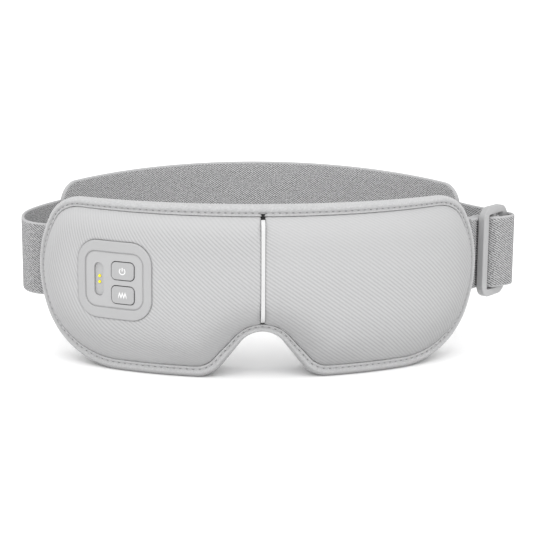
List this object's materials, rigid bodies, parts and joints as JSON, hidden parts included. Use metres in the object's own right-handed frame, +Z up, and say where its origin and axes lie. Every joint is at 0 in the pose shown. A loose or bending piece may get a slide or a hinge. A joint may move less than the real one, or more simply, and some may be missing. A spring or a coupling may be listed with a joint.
{
  "type": "eye massager",
  "caption": "Curved padded eye mask with a domed cloth front, control pod, vibration motors and heating films, worn on an elastic head strap with a slider.",
  "frame": {"origin": "on the table, in the mask's plane of symmetry, under the front of the rim at the nose", "axes": "+X to the right of someone facing the front, +Y back towards the head, +Z up"},
  "size_m": [0.2449, 0.1639, 0.081],
  "materials": {
    "binding_cloth": "matt felt",
    "cover_cloth": "fine ribbed cloth",
    "strip_plastic": "gloss",
    "lining_cloth": "soft matt",
    "foam": "open foam",
    "frame_plastic": "moulded",
    "film": "printed film",
    "cell": "wrapped foil",
    "bezel_plastic": "satin",
    "panel_plastic": "satin",
    "board": "printed board",
    "steel": "plated",
    "switch_plastic": "moulded",
    "button_plastic": "satin",
    "symbol_print": "printed",
    "port_plastic": "satin",
    "contact_metal": "gold flash",
    "magnet": "plated",
    "cradle_rubber": "moulded",
    "band_cloth": "woven",
    "strap_cloth": "woven elastic",
    "slider_plastic": "semi-gloss"
  },
  "bodies": {
    "mask": {"edge_binding": "binding_cloth", "cover_left": "cover_cloth", "cover_right": "cover_cloth", "centre_strip": "strip_plastic", "face_lining": "lining_cloth", "foam_pad_left": "foam", "foam_pad_right": "foam", "inner_frame_left": "frame_plastic", "inner_frame_right": "frame_plastic", "heating_film_left": "film", "heating_film_right": "film", "battery_cell": "cell", "control_bezel": "bezel_plastic", "control_panel": "panel_plastic", "control_housing": "frame_plastic", "control_board": "board", "board_screws": "steel", "tact_switches": "switch_plastic", "charge_port": "port_plastic", "charge_contacts": "contact_metal", "charge_magnets": "magnet", "motor_left": "steel", "motor_right": "steel", "motor_cradle_left": "cradle_rubber", "motor_cradle_right": "cradle_rubber", "bridge_cable": "film", "back_band": "band_cloth", "strap_left": "strap_cloth", "strap_right": "strap_cloth", "strap_tab": "strap_cloth"},
    "power_key": {"power_button": "button_plastic", "power_symbol": "symbol_print"},
    "mode_key": {"mode_button": "button_plastic", "mode_symbol": "symbol_print"},
    "rotor_left": {"motor_rotor_left": "steel"},
    "rotor_right": {"motor_rotor_right": "steel"},
    "slider": {"strap_slider": "slider_plastic"}
  },
  "joints": [
    {"name": "power_press", "type": "slide", "parent": "mask", "child": "power_key", "axis": [0.4418, 0.8971, 0], "range_m": [0, 0.0005], "stiffness_N_per_m": 1600},
    {"name": "mode_press", "type": "slide", "parent": "mask", "child": "mode_key", "axis": [0.4418, 0.8971, 0], "range_m": [0, 0.0005], "stiffness_N_per_m": 1600},
    {"name": "rotor_left_spin", "type": "hinge", "parent": "mask", "child": "rotor_left", "pos_m": [-0.02832, 0.00133, 0.056], "axis": [0, 0, 1], "continuous": true},
    {"name": "rotor_right_spin", "type": "hinge", "parent": "mask", "child": "rotor_right", "pos_m": [0.02832, 0.00133, 0.056], "axis": [0, 0, 1], "continuous": true},
    {"name": "slider_tilt", "type": "hinge", "parent": "mask", "child": "slider", "pos_m": [0.1172, 0.06102, 0.0466], "axis": [0, 0, 1], "range_deg": [0, 20], "stiffness_Nm_per_rad": 0.02}
  ]
}
